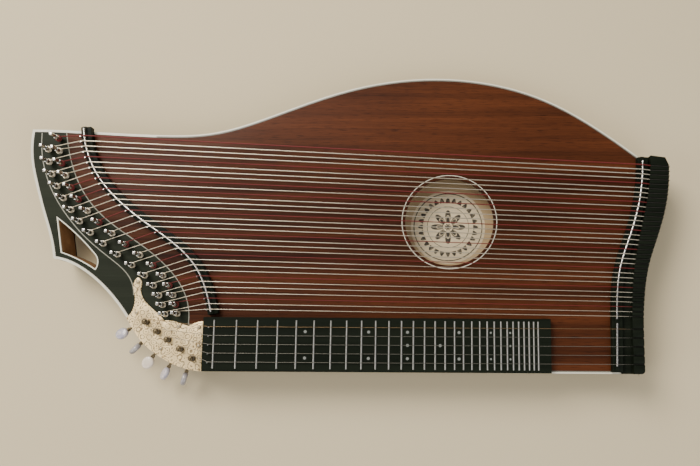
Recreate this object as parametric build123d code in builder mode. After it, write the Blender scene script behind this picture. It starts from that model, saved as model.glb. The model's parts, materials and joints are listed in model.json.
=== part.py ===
from build123d import *
import os
from math import cos, pi, radians, sin, sqrt

os.makedirs("parts", exist_ok=True)

# A fretted concert zither, millimetres. +X runs along the strings, away from the pins.
# +Y runs away from the player and +Z up. The origin is the middle of the feet's plane.

# ---- overall sizes ----
scale_length = 420.0          # zero fret to the melody rod
drawn_scale_length = 420.0    # the scale length that the plan below is drawn at
body_height = 33.0            # under the back to the top of the soundboard
foot_height = 7.0

# ---- box ----
back_thickness = 3.0
board_thickness = 3.0
veneer_thickness = 1.5        # black plate glued on the pin block
rib_thickness = 5.0
block_ledge = 8.0             # pin block standing out under the soundboard
hitch_block_setback = 6.0     # inside the string rail's edge
end_radius = 4.0
corner_radius = 2.0
binding_width = 3.0
brace_width = 8.0
brace_height = 6.0
foot_radius = 9.0
foot_toe_radius = 5.0

# ---- inlays ----
line_width = 1.0
window_line = 1.2
ring_depth = 1.0
sound_hole_radius = 48.0
ring_radii = [(48.0, 49.2), (51.2, 52.0)]

# ---- fretboard ----
fretboard_height = 7.5
fretboard_front = -153.3
fretboard_width = 56.8
fret_count = 29
fret_length = 50.8
fret_crown = 1.8
fret_rise = 1.1
fret_tang = 0.6
fret_tang_depth = 2.0
dot_radius = 1.6
small_dot_radius = 1.1
dot_depth = 1.0
dot_rows = {5: (1.5, -1.5), 9: (1.5, -1.5), 12: (1.5, 0, -1.5), 15: (0,), 17: (1.5, -1.5),
            21: (1.5, -1.5), 24: (1.5, 0, -1.5)}  # fret: rows, in string spacings from the middle string
last_wide_dot = 17
melody_count = 5
melody_spacing = 9.2
melody_middle = -125.1

# ---- bridges, rods and rail ----
base_height = 7.4
ridge_rise = 1.6
ridge_half = 2.0
base_left = 4.3               # base on the pin side of its rod
base_right = 6.5
base_overhang = (2.0, 4.5)    # past the ends of the left and the right rods
rod_radius = 1.0
rail_rise = 10.0
valley_rise = 2.5
groove_width = 1.8
groove_floor = 8.2            # above the soundboard
joint_gap = 0.2

# ---- strings and the small pins that hold them ----
string_count = 33
inner_row = (98.1, 14.4, 0.153)  # y of the first pin, the spacing, and how fast it closes up
outer_row = (85.5, 14.2, 0.150)
left_first, left_spacing = 99.6, 5.878
right_first, right_spacing = 70.9, 5.13
thick_string = 0.60           # radius at the far side
thin_string = 0.32            # radius beside the fretboard
melody_radius = 0.25
string_bend = 0.8
end_clearance = 0.2
guide_radius = 0.55
guide_rise = 3.2
guide_setback = 3.6           # from the left rod
fret_guide_setback = 4.7      # from the zero fret
hitch_radius = 0.8
hitch_out = 3.4
hitch_in = 9.0
hitch_drop = 13.0             # below the top of the soundboard

# ---- tuning pins ----
pin_radius = 2.3
pin_clearance = 0.05
pin_hole_clearance = 0.2      # in the veneer
pin_foot = 8.0                # wood left under the bore
pin_rise = 22.0               # above the veneer
pin_square = 3.3
pin_square_length = 9.0
coil_outer = 3.3
coil_low, coil_high = 1.6, 7.8
coil_gap = 0.35
coil_rounding = 0.6

# ---- machine head ----
teeth = 14
worm_pitch = 2.0
worm_pitch_radius = 2.0
addendum = 0.55
dedendum = 0.75
wheel_width = 3.0
worm_half = 3.2
thread_root, thread_tip = 0.40, 0.20  # half widths
thread_sink = 0.15
gap_root, gap_tip = 0.52, 1.15        # half widths between teeth, the tip's 1 mm outside the wheel
worm_axis_drop = 12.0         # below the top of the soundboard
shaft_radius = 1.25
shaft_clearance = 0.05
post_radius = 2.5
post_clearance = 0.05
post_rise = 9.5
post_coil_outer = 3.5
post_coil_low, post_coil_high = 5.4, 8.0
plate_thickness = 1.2
pocket_depth = 19.0
pocket_room = 1.4
lug_thickness = 1.8
lug_half = 2.6
lug_gap = 0.7
ferrule_radius = 2.0
ferrule_length = 2.2
button_length = 14.5
button_width = 12.5
button_thickness = 5.6
button_rounding = 2.35
screw_radius = 1.0
screw_head_radius = 1.9
screw_length = 8.0

# ---- heights ----
wheel_pitch_radius = teeth * worm_pitch / (2 * pi)
back_low = foot_height
box_low = back_low + back_thickness
top = foot_height + body_height
board_low = top - board_thickness
block_top = top - veneer_thickness
fretboard_top = top + fretboard_height
fret_top = fretboard_top + fret_rise
base_top = top + base_height + ridge_rise
rod_top = base_top + 2 * rod_radius
worm_z = top - worm_axis_drop
plate_top = top + plate_thickness


def plan(points):
    """Places of the drawn plan, stretched along the strings with the scale length."""
    return [(x * scale_length / drawn_scale_length, y) for x, y in points]


# ---- the plan ----
far_edge = plan([(-345.5, 110.0), (-274.4, 107.3), (-203.4, 104.4), (-150.5, 107.1), (-97.9, 122.3),
                 (-45.2, 142.8), (7.9, 160.0), (61.4, 169.7), (115.0, 171.2), (168.6, 164.0),
                 (221.9, 146.3), (274.5, 116.2), (320.0, 83.0)])
end_top = plan([(345.8, 79.6)])
end_edge = plan([(349.6, 71.0), (348.4, 50.0), (342.9, 20.0), (333.4, -10.0), (323.2, -41.0),
                 (317.6, -75.6), (315.8, -101.0)])
end_front = plan([(315.5, -153.5)])
machine_edge = plan([(-150.2, -153.5), (-176.9, -147.5), (-196.4, -137.3), (-216.2, -121.0),
                     (-232.0, -98.0), (-255.0, -69.3), (-279.0, -48.8), (-304.7, -36.0),
                     (-315.5, -34.0)])
head_edge = plan([(-315.5, -34.0), (-321.8, -7.3), (-331.3, 19.2), (-340.0, 46.0), (-347.3, 73.0),
                  (-349.5, 95.0), (-348.6, 110.0)])
board_line = plan([(-313.0, 118.0), (-307.3, 87.1), (-294.2, 50.4), (-268.9, 16.4), (-229.6, -13.0),
                   (-192.8, -42.0), (-172.9, -68.8), (-166.2, -101.6)])
inlay_line = plan([(-338.2, 106.0), (-335.7, 78.2), (-324.9, 45.9), (-306.4, 16.1), (-279.4, -13.3),
                   (-253.2, -34.1), (-232.3, -53.7), (-226.6, -73.0)])
inner_pin_line = plan([(-316.5, 98.1), (-310.8, 70.1), (-298.3, 42.8), (-278.4, 16.7), (-250.0, -7.9),
                       (-218.2, -31.6), (-194.1, -52.1), (-181.8, -73.6), (-176.2, -95.9)])
outer_pin_line = plan([(-326.4, 85.5), (-320.9, 59.3), (-306.4, 32.1), (-286.3, 5.5), (-259.6, -18.4),
                       (-227.4, -41.4), (-203.7, -62.5), (-192.4, -83.8), (-188.7, -95.9)])
left_rod_line = plan([(-287.2, 108.5), (-281.4, 81.6), (-269.4, 57.1), (-246.0, 29.8), (-213.6, 3.9),
                      (-181.8, -18.8), (-159.3, -41.3), (-144.7, -71.8), (-139.8, -91.4)])
right_rod_line = plan([(321.1, 75.9), (319.8, 54.1), (315.9, 30.3), (307.7, 1.3), (297.9, -25.7),
                       (291.5, -48.8), (288.6, -75.3), (287.8, -96.2)])
right_base_line = right_rod_line + plan([(286.9, -147.0)])
melody_rod_line = plan([(287.9, -100.6), (286.5, -145.4)])
rail_line = plan([(330.0, 81.0), (329.0, 62.0), (325.2, 35.0), (318.4, 5.0), (311.4, -25.0),
                  (306.6, -55.0), (304.4, -90.0), (303.8, -152.0)])
sound_hole = plan([(112.0, 9.0)])[0]
zero_fret = plan([(-136.3, 0)])[0][0]
fretboard_left = plan([(-148.0, 0)])[0][0]
fretboard_right = plan([(218.5, 0)])[0][0]
plate_right = plan([(-150.2, 0)])[0][0]
step_y = -104.0               # where the block's edge turns right, under the plate
posts = plan([(-210.1, -101.9), (-197.7, -111.9), (-186.0, -120.5), (-172.3, -130.2), (-159.4, -139.9)])
button_angles = [212, 223, 234, 243, 255]
button_reach = [33.1, 33.4, 34.9, 32.6, 24.6]
button_turns = [20, 65, 0, 50, 75]
plate_screws = plan([(-222.0, -59.0), (-154.5, -107.5), (-176.0, -106.6), (-221.5, -92.0),
                     (-193.6, -130.0), (-153.8, -127.0)])
feet_places = plan([(-190.0, -118.0), (285.0, -128.0), (0.0, 128.0)])
top_brace_places = plan([(-90.0, 0), (20.0, 0), (200.0, 0), (262.0, 0)])
back_brace_places = plan([(-110.0, 0), (30.0, 0), (235.0, 0)])
beyond = 500.0                # past the outline on every side
band_overrun = 1.0


def outline():
    """The body's outline, as a face."""
    with BuildSketch() as shape:
        with BuildLine():
            Spline(*far_edge)
            Polyline(far_edge[-1], end_top[0], end_edge[0])
            Spline(*end_edge)
            Polyline(end_edge[-1], end_front[0], machine_edge[0])
            Spline(*machine_edge)
            Spline(*head_edge)
            Line(head_edge[-1], far_edge[0])
        make_face()
        fillet(shape.vertices().sort_by_distance((*end_front[0], 0))[0], end_radius)
        fillet(shape.vertices().sort_by_distance((*machine_edge[-1], 0))[0], corner_radius)
    return shape.sketch


def curve(points):
    with BuildLine() as line:
        Spline(*points)
    return line.edges()[0]


def beside(points, shift, reach=0.0):
    """Points at a distance to the +X side of a curve that runs towards the player."""
    path = curve(points)
    steps = 24 if len(points) > 2 else 1
    run = []
    for i in range(steps + 1):
        place = path @ (i / steps)
        along = path % (i / steps)
        run.append(Vector(place.X - along.Y * shift, place.Y + along.X * shift))
    first, last = path % 0, path % 1
    run[0] -= Vector(first.X, first.Y) * reach
    run[-1] += Vector(last.X, last.Y) * reach
    return [(p.X, p.Y) for p in run]


def ribbon(points, left, right, reach=0.0):
    """A strip that follows a curve, as a face."""
    one, other = beside(points, -left, reach), beside(points, right, reach)
    with BuildSketch() as strip:
        with BuildLine():
            Spline(*one)
            Line(one[-1], other[-1])
            Spline(*reversed(other))
            Line(other[0], one[0])
        make_face()
    return strip.sketch


def inset(amount):
    """The outline less a band along each of its edges."""
    front_line = [end_front[0], machine_edge[0]]
    end_line = [end_edge[-1], end_front[0]]
    shoulder = [far_edge[-1], end_top[0]]
    end_corner = [end_top[0], end_edge[0]]
    head_corner = [head_edge[-1], far_edge[0]]
    with BuildSketch() as shape:
        add(body_outline)
        for edge in (far_edge, shoulder, end_corner, end_edge, end_line, front_line, machine_edge, head_edge,
                     head_corner):
            add(ribbon(edge, amount, amount, reach=band_overrun), mode=Mode.SUBTRACT)
    return shape.sketch


def head_side(shift):
    """Everything on the pin side of the head plate's edge."""
    edge = beside(board_line, shift)
    step = (plate_right + shift, step_y + shift)
    with BuildSketch() as side:
        with BuildLine():
            Spline(*edge)
            Polyline(edge[-1], (edge[-1][0], -beyond), (-beyond, -beyond), (-beyond, beyond),
                     (edge[0][0], beyond), edge[0])
        make_face()
        Polygon((-beyond, step[1]), step, (step[0], -beyond), (-beyond, -beyond), align=None)
    return side.sketch


def at_y(points, y):
    """The place where a curve that runs towards the player passes a given y."""
    path = curve(points)
    low, high = 0.0, 1.0
    for _ in range(40):
        middle = (low + high) / 2
        if (path @ middle).Y > y:
            low = middle
        else:
            high = middle
    return path @ low


def window(grow=0.0):
    with BuildSketch() as hole:
        tip, low, foot, turn = plan([(-313.7, 9.7), (-306.9, -26.7), (-269.7, -44.8), (-271.0, -29.4)])
        lower, nose, upper = plan([(-289.0, -33.9), (-267.9, -36.5), (-291.0, -9.0)])
        with BuildLine():
            Line(tip, low)
            ThreePointArc(low, lower, foot)
            ThreePointArc(foot, nose, turn)
            ThreePointArc(turn, upper, tip)
        make_face()
        if grow:
            offset(amount=grow, kind=Kind.INTERSECTION)
    return hole.sketch


body_outline = outline()
inside_binding = inset(binding_width)
inside_ribs = inset(rib_thickness)

# ---- where the strings run ----
strings = []
for i in range(string_count):
    share = i / (string_count - 1)
    left = at_y(left_rod_line, left_first - left_spacing * i)
    right = at_y(right_rod_line, right_first - right_spacing * i)
    slope = (right.Y - left.Y) / (right.X - left.X)
    line, (first, spacing, closing) = (outer_pin_line, outer_row) if i % 2 else (inner_pin_line, inner_row)
    pin_y = first - spacing * (i // 2) + closing * (i // 2) ** 2
    strings.append({"left": left, "right": right, "slope": slope, "pin": at_y(line, pin_y),
                    "radius": thick_string + (thin_string - thick_string) * share})

melody = []
for i in range(melody_count):
    y = melody_middle + melody_spacing * ((melody_count - 1) / 2 - i)
    (x1, y1), (x2, y2) = melody_rod_line
    melody.append({"left": Vector(zero_fret, y), "right": Vector(x1 + (x2 - x1) * (y - y1) / (y2 - y1), y),
                   "slope": 0.0, "pin": Vector(*posts[i]), "radius": melody_radius})

for string in strings + melody:
    wall = end_edge if string in strings else [end_edge[-1], end_front[0]]
    for name, line in (("rail", rail_line), ("end", wall)):
        place = string["right"]
        for _ in range(3):
            reached = at_y(line, place.Y)
            place = Vector(reached.X, string["right"].Y + string["slope"] * (reached.X - string["right"].X))
        string[name] = place


hitch_places = [Location((s["end"].X, s["end"].Y, top - hitch_drop), (0, 90, 0)) for s in strings + melody]


def tangent_end(start, centre, wrap, clear):
    """Where a string that meets a coil on its far side stops, clear of the coil."""
    reach = centre - start
    span = reach.length
    heading = reach / span
    side = Vector(heading.Y, -heading.X)
    lift = wrap / span
    heading = heading * sqrt(1 - lift * lift) + side * lift
    run = sqrt(span * span - wrap * wrap) - sqrt(clear * clear - wrap * wrap)
    return start + heading * run


# ---- where the frets and dots are ----
fret_places = [zero_fret + scale_length * (1 - 2 ** (-n / 12)) for n in range(fret_count + 1)]
fret_middle = fretboard_front + fretboard_width / 2
with BuildSketch() as dots:
    for fret, rows in dot_rows.items():
        space = (fret_places[fret - 1] + fret_places[fret]) / 2
        with Locations(*[(space, melody_middle + melody_spacing * row) for row in rows]):
            Circle(dot_radius if fret <= last_wide_dot else small_dot_radius)

# ---- box ----
with BuildPart() as back_board:
    with BuildSketch(Plane.XY.offset(back_low)):
        add(body_outline)
        add(window(), mode=Mode.SUBTRACT)
    extrude(amount=back_thickness)
back_board.part.label = "back_board"
export_step(back_board.part, "parts/back_board.step")

shaft_lines = []
for post, angle, reach in zip(posts, button_angles, button_reach):
    outward = Vector(cos(radians(angle)), sin(radians(angle)))
    beside_post = Vector(-outward.Y, outward.X)
    mesh_distance = wheel_pitch_radius + worm_pitch_radius
    shaft_lines.append((Vector(*post) - beside_post * mesh_distance, outward, reach))


def shaft_plane(i):
    """Plane at worm i's middle, with its normal along the shaft and its x axis towards the post."""
    foot, outward, _ = shaft_lines[i]
    return Plane(origin=(foot.X, foot.Y, worm_z), x_dir=(-outward.Y, outward.X, 0),
                 z_dir=(outward.X, outward.Y, 0))


with BuildPart() as side_ribs:
    with BuildSketch(Plane.XY.offset(box_low)):
        add(body_outline)
        add(inside_ribs, mode=Mode.SUBTRACT)
    extrude(amount=board_low - box_low)
    for i in range(melody_count):
        with BuildSketch(shaft_plane(i)):
            Circle(shaft_radius + 4 * shaft_clearance)
        extrude(amount=shaft_lines[i][2], mode=Mode.SUBTRACT)
    with Locations(*hitch_places):
        Cylinder(hitch_radius, 4 * hitch_in, mode=Mode.SUBTRACT)
side_ribs.part.label = "side_ribs"
export_step(side_ribs.part, "parts/side_ribs.step")

with BuildSketch() as machine_pocket:
    with Locations(*posts):
        Circle(wheel_pitch_radius + addendum + pocket_room)
    with Locations(*[(foot.X, foot.Y) for foot, _, _ in shaft_lines]):
        Circle(worm_half + lug_gap + lug_thickness + pocket_room)
    make_hull()

with BuildPart() as pin_block:
    with BuildSketch(Plane.XY.offset(box_low)):
        add(inside_ribs)
        add(head_side(block_ledge), mode=Mode.INTERSECT)
    extrude(amount=board_low - box_low)
    with BuildSketch(Plane.XY.offset(board_low)):
        add(inside_binding)
        add(head_side(line_width / 2), mode=Mode.INTERSECT)
    extrude(amount=block_top - board_low)
    with BuildSketch(Plane.XY.offset(box_low)):
        add(window())
    extrude(amount=body_height, mode=Mode.SUBTRACT)
    with BuildSketch(Plane.XY.offset(top - pocket_depth)):
        add(machine_pocket.sketch)
    extrude(amount=pocket_depth, mode=Mode.SUBTRACT)
    with BuildSketch(Plane.XY.offset(box_low + pin_foot)):
        with Locations(*[(s["pin"].X, s["pin"].Y) for s in strings]):
            Circle(pin_radius + pin_clearance)
        with Locations(*posts):
            Circle(post_radius + post_clearance)
    extrude(amount=body_height, mode=Mode.SUBTRACT)
    for i in range(melody_count):
        with BuildSketch(shaft_plane(i)):
            Circle(shaft_radius + 4 * shaft_clearance)
        extrude(amount=shaft_lines[i][2], mode=Mode.SUBTRACT)
    with BuildSketch(Plane.XY.offset(top - screw_length - plate_thickness)):
        with Locations(*plate_screws):
            Circle(screw_radius)
    extrude(amount=body_height, mode=Mode.SUBTRACT)
pin_block.part.label = "pin_block"
export_step(pin_block.part, "parts/pin_block.step")

with BuildPart() as hitch_block:
    with BuildSketch(Plane.XY.offset(box_low)):
        add(inside_ribs)
        with BuildLine():
            block_edge = beside(rail_line, hitch_block_setback, reach=20.0)
            Spline(*block_edge)
            Polyline(block_edge[-1], (beyond, block_edge[-1][1]), (beyond, block_edge[0][1]),
                     block_edge[0])
        make_face(mode=Mode.INTERSECT)
    extrude(amount=board_low - box_low)
    with Locations(*hitch_places):
        Cylinder(hitch_radius, 2 * hitch_in, mode=Mode.SUBTRACT)
hitch_block.part.label = "hitch_block"
export_step(hitch_block.part, "parts/hitch_block.step")

with BuildPart() as soundboard:
    with BuildSketch(Plane.XY.offset(board_low)):
        add(inside_binding)
        add(head_side(line_width / 2), mode=Mode.SUBTRACT)
        with Locations(sound_hole):
            Circle(sound_hole_radius, mode=Mode.SUBTRACT)
    extrude(amount=board_thickness)
    with BuildSketch(Plane.XY.offset(top - ring_depth)):
        with Locations(sound_hole):
            for inner, outer in ring_radii:
                Circle(outer)
                Circle(inner, mode=Mode.SUBTRACT)
    extrude(amount=ring_depth, mode=Mode.SUBTRACT)
soundboard.part.label = "soundboard"
export_step(soundboard.part, "parts/soundboard.step")

with BuildPart() as braces:
    with BuildSketch(Plane.XY.offset(board_low - brace_height)):
        with Locations(*top_brace_places):
            Rectangle(brace_width, beyond)
        add(inside_ribs, mode=Mode.INTERSECT)
    extrude(amount=brace_height)
    with BuildSketch(Plane.XY.offset(box_low)):
        with Locations(*back_brace_places):
            Rectangle(brace_width, beyond)
        add(inside_ribs, mode=Mode.INTERSECT)
    extrude(amount=brace_height)
braces.part.label = "braces"
export_step(braces.part, "parts/braces.step")

with BuildPart() as head_plate:
    with BuildSketch(Plane.XY.offset(block_top)):
        add(inside_binding)
        add(head_side(-line_width / 2), mode=Mode.INTERSECT)
        add(window(window_line), mode=Mode.SUBTRACT)
        add(ribbon(inlay_line, line_width / 2, line_width / 2), mode=Mode.SUBTRACT)
        add(machine_pocket.sketch, mode=Mode.SUBTRACT)
        with Locations(*[(s["pin"].X, s["pin"].Y) for s in strings]):
            Circle(pin_radius + pin_hole_clearance, mode=Mode.SUBTRACT)
        with Locations(*plate_screws):
            Circle(screw_radius, mode=Mode.SUBTRACT)
    extrude(amount=veneer_thickness)
head_plate.part.label = "head_plate"
export_step(head_plate.part, "parts/head_plate.step")

with BuildPart() as binding:
    with BuildSketch(Plane.XY.offset(board_low)):
        add(body_outline)
        add(inside_binding, mode=Mode.SUBTRACT)
    extrude(amount=board_thickness)
    with BuildSketch(Plane.XY.offset(block_top)):
        add(window(window_line))
        add(window(), mode=Mode.SUBTRACT)
    extrude(amount=veneer_thickness)
    with BuildSketch(Plane.XY.offset(block_top)):
        add(ribbon(inlay_line, line_width / 2, line_width / 2))
    extrude(amount=veneer_thickness)
    with BuildSketch(Plane.XY.offset(block_top)):
        add(head_side(line_width / 2))
        add(head_side(-line_width / 2), mode=Mode.SUBTRACT)
        add(inside_binding, mode=Mode.INTERSECT)
    extrude(amount=veneer_thickness)
    with BuildSketch(Plane.XY.offset(top - ring_depth)):
        with Locations(sound_hole):
            for inner, outer in ring_radii:
                Circle(outer)
                Circle(inner, mode=Mode.SUBTRACT)
    extrude(amount=ring_depth)
    with BuildSketch(Plane.XY.offset(fretboard_top - dot_depth)):
        add(dots.sketch)
    extrude(amount=dot_depth)
binding.part.label = "binding"
export_step(binding.part, "parts/binding.step")

with BuildPart() as feet:
    with BuildSketch():
        with Locations(*feet_places):
            Circle(foot_toe_radius)
    with BuildSketch(Plane.XY.offset(foot_height)):
        with Locations(*feet_places):
            Circle(foot_radius)
    for i in range(len(feet_places)):
        loft([feet.pending_faces[i], feet.pending_faces[i + len(feet_places)]])
feet.part.label = "feet"
export_step(feet.part, "parts/feet.step")

# ---- fretboard ----
with BuildPart() as fretboard:
    with BuildSketch(Plane.XY.offset(top)):
        with Locations(((fretboard_left + fretboard_right) / 2, fret_middle)):
            Rectangle(fretboard_right - fretboard_left, fretboard_width)
    extrude(amount=fretboard_height)
    with BuildSketch(Plane.XY.offset(fretboard_top - fret_tang_depth)):
        with Locations(*[(x, fret_middle) for x in fret_places]):
            Rectangle(fret_tang, fret_length)
    extrude(amount=fret_tang_depth, mode=Mode.SUBTRACT)
    with BuildSketch(Plane.XY.offset(fretboard_top - dot_depth)):
        add(dots.sketch)
    extrude(amount=dot_depth, mode=Mode.SUBTRACT)
    guides = [(zero_fret - fret_guide_setback, s["left"].Y - guide_radius - melody_radius) for s in melody]
    with BuildSketch(Plane.XY.offset(top)):
        with Locations(*guides):
            Circle(guide_radius)
    extrude(amount=fretboard_height, mode=Mode.SUBTRACT)
fretboard.part.label = "fretboard"
export_step(fretboard.part, "parts/fretboard.step")

with BuildPart() as frets:
    with BuildSketch(Plane.XZ.offset(-fret_middle)):
        with Locations(*[(x, fretboard_top) for x in fret_places]):
            Rectangle(fret_tang, fret_tang_depth, align=(Align.CENTER, Align.MAX))
            Ellipse(fret_crown / 2, fret_rise)
        with Locations(((fret_places[0] + fret_places[-1]) / 2, fretboard_top)):
            Rectangle(2 * scale_length, fret_crown, align=(Align.CENTER, Align.MAX), mode=Mode.SUBTRACT)
        with Locations(*[(x, fretboard_top) for x in fret_places]):
            Rectangle(fret_tang, fret_tang_depth, align=(Align.CENTER, Align.MAX))
    extrude(amount=fret_length / 2, both=True)
frets.part.label = "frets"
export_step(frets.part, "parts/frets.step")

# ---- bridges, rods and rail ----
left_guides = []
for string in strings:
    rest = string["left"]
    left_guides.append(Vector(rest.X - guide_setback, rest.Y - guide_radius - string["radius"]))

with BuildPart() as bridges:
    for line, reach in zip((left_rod_line, right_base_line), base_overhang):
        with BuildSketch(Plane.XY.offset(top)):
            add(ribbon(line, base_left, base_right, reach))
        extrude(amount=base_height)
        with BuildSketch(Plane.XY.offset(top + base_height)):
            add(ribbon(line, ridge_half, ridge_half, reach))
        extrude(amount=ridge_rise)
    with BuildSketch(Plane.XY.offset(top)):
        with Locations(*[(g.X, g.Y) for g in left_guides]):
            Circle(guide_radius)
    extrude(amount=base_height + ridge_rise, mode=Mode.SUBTRACT)
bridges.part.label = "bridges"
export_step(bridges.part, "parts/bridges.step")

with BuildPart() as bridge_rods:
    for line in (left_rod_line, right_rod_line, melody_rod_line):
        with BuildLine() as route:
            Spline(*[(x, y, base_top + rod_radius) for x, y in line])
        with BuildSketch(Plane(origin=route.line @ 0, z_dir=route.line % 0)):
            Circle(rod_radius)
        sweep(path=route.line)
bridge_rods.part.label = "bridge_rods"
export_step(bridge_rods.part, "parts/bridge_rods.step")

with BuildPart() as string_rail:
    valley_edge = beside(right_base_line, base_right + joint_gap, base_overhang[1])
    for edge, rise in ((valley_edge, valley_rise), (beside(rail_line, 0.0), rail_rise)):
        with BuildSketch(Plane.XY.offset(top)):
            add(body_outline)
            with BuildLine():
                Spline(*edge)
                Polyline(edge[-1], (edge[-1][0], -beyond), (beyond, -beyond), (beyond, beyond),
                         (edge[0][0], beyond), edge[0])
            make_face(mode=Mode.INTERSECT)
        extrude(amount=rise)
    for s in strings + melody:
        middle = (s["rail"] + s["end"]) / 2
        with BuildSketch(Plane.XY.offset(top + groove_floor)):
            with Locations(Location((middle.X, middle.Y), s["slope"] * 180 / pi)):
                Rectangle((s["end"] - s["rail"]).length + 20, groove_width)
        extrude(amount=rail_rise, mode=Mode.SUBTRACT)
string_rail.part.label = "string_rail"
export_step(string_rail.part, "parts/string_rail.step")

with BuildPart() as string_pins:
    with BuildSketch(Plane.XY.offset(top)):
        with Locations(*[(g.X, g.Y) for g in left_guides], *guides):
            Circle(guide_radius)
    extrude(amount=base_height + ridge_rise + guide_rise)
    with Locations(*hitch_places):
        Cylinder(hitch_radius, hitch_out, align=(Align.CENTER, Align.CENTER, Align.MIN))
        Cylinder(hitch_radius, hitch_in, align=(Align.CENTER, Align.CENTER, Align.MAX))
string_pins.part.label = "string_pins"
export_step(string_pins.part, "parts/string_pins.step")

with BuildPart() as string_set:
    for s, guide in zip(strings + melody, left_guides + [Vector(*g) for g in guides]):
        r = s["radius"]
        open_string = s["left"].X != zero_fret
        over = (rod_top if open_string else fret_top) + r
        groove = top + groove_floor + r + end_clearance
        out = s["end"].X + r + end_clearance
        beside_pin = s["end"].Y - hitch_radius - r
        bend = Vector(guide.X, guide.Y + guide_radius + r)
        coil = coil_outer if open_string else post_coil_outer
        core = pin_radius if open_string else post_radius
        wrap_z = top + (coil_low + coil_high if open_string else post_coil_low + post_coil_high) / 2
        stop = tangent_end(bend, s["pin"], (coil + core) / 2, coil + r + coil_gap)
        fall = (over - wrap_z) / (bend - s["pin"]).length
        with BuildLine() as route:
            FilletPolyline((out, beside_pin, top - hitch_drop - hitch_radius),
                           (out, s["end"].Y, groove),
                           (s["rail"].X, s["rail"].Y, groove),
                           (s["right"].X, s["right"].Y, rod_top + r),
                           (s["left"].X, s["left"].Y, over),
                           (bend.X, bend.Y, over - fall * (s["left"].X - bend.X)),
                           (stop.X, stop.Y, over - fall * (s["left"].X - stop.X)), radius=string_bend)
        with BuildSketch(Plane(origin=route.line @ 0, z_dir=route.line % 0)):
            Circle(r)
        sweep(path=route.line)
string_set.part.label = "strings"
export_step(string_set.part, "parts/strings.step")

# ---- tuning pins ----
for number, s in enumerate(strings, 1):
    place = (s["pin"].X, s["pin"].Y)
    with BuildPart() as tuning_pin:
        with BuildSketch(Plane.XY.offset(box_low + pin_foot)):
            with Locations(place):
                Circle(pin_radius)
        extrude(amount=top + pin_rise - pin_square_length - box_low - pin_foot)
        with BuildSketch(Plane.XY.offset(top + pin_rise - pin_square_length)):
            with Locations(place):
                Rectangle(pin_square, pin_square)
        extrude(amount=pin_square_length)
    with BuildPart() as coil:
        with BuildSketch(Plane.XY.offset(top + coil_low)):
            with Locations(place):
                Circle(coil_outer)
                Circle(pin_radius, mode=Mode.SUBTRACT)
        extrude(amount=coil_high - coil_low)
        fillet(coil.edges().filter_by(GeomType.CIRCLE).group_by(SortBy.RADIUS)[-1], coil_rounding)
    name = f"tuning_pin_{number:02d}"
    pin_and_coil = Compound(label=name, children=[tuning_pin.part, coil.part])
    export_step(pin_and_coil, f"parts/{name}.step")

# ---- machine head ----
with BuildPart() as machine_plate:
    with BuildSketch(Plane.XY.offset(top)):
        with BuildLine():
            edge = plan([(-150.2, -100.7), (-157.0, -101.9), (-164.6, -105.6)])
            Spline(*edge)
            crest = plan([(-164.6, -105.6), (-170.0, -104.6), (-178.0, -101.9), (-191.7, -100.5)])
            Spline(*crest)
            arm = plan([(-191.7, -100.5), (-204.5, -88.2), (-215.3, -77.0), (-218.6, -66.0), (-218.1, -58.5),
                        (-222.1, -54.4), (-226.2, -59.2), (-224.8, -73.0), (-225.1, -85.3), (-232.5, -97.6)])
            Spline(*arm)
            Polyline(arm[-1], (-beyond, -110), (-beyond, -beyond), (plate_right, -beyond), edge[0])
        make_face()
        add(body_outline, mode=Mode.INTERSECT)
        with Locations(*posts):
            Circle(post_radius + pin_hole_clearance, mode=Mode.SUBTRACT)
        with Locations(*plate_screws):
            Circle(screw_radius, mode=Mode.SUBTRACT)
    extrude(amount=plate_thickness)
    for i in range(melody_count):
        lug_low = worm_z - lug_half
        for side in (-1, 1):
            place = side * (worm_half + lug_gap + lug_thickness / 2)
            foot, outward, _ = shaft_lines[i]
            middle = foot + outward * place
            with BuildSketch(Plane.XY.offset(lug_low)):
                with Locations(Location((middle.X, middle.Y), button_angles[i])):
                    Rectangle(lug_thickness, 2 * lug_half)
            extrude(amount=top - lug_low)
        with BuildSketch(shaft_plane(i)):
            Circle(shaft_radius + shaft_clearance)
        extrude(amount=worm_half * 3, both=True, mode=Mode.SUBTRACT)
with BuildPart() as plate_screw_set:
    with BuildSketch(Plane.XY.offset(top - screw_length - plate_thickness)):
        with Locations(*plate_screws):
            Circle(screw_radius)
    extrude(amount=screw_length + 2 * plate_thickness)
    with BuildSketch(Plane.XY.offset(plate_top)):
        with Locations(*plate_screws):
            Circle(screw_head_radius)
    extrude(amount=screw_radius)
plate_and_screws = Compound(label="machine_plate", children=[machine_plate.part, plate_screw_set.part])
export_step(plate_and_screws, "parts/machine_plate.step")

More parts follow.
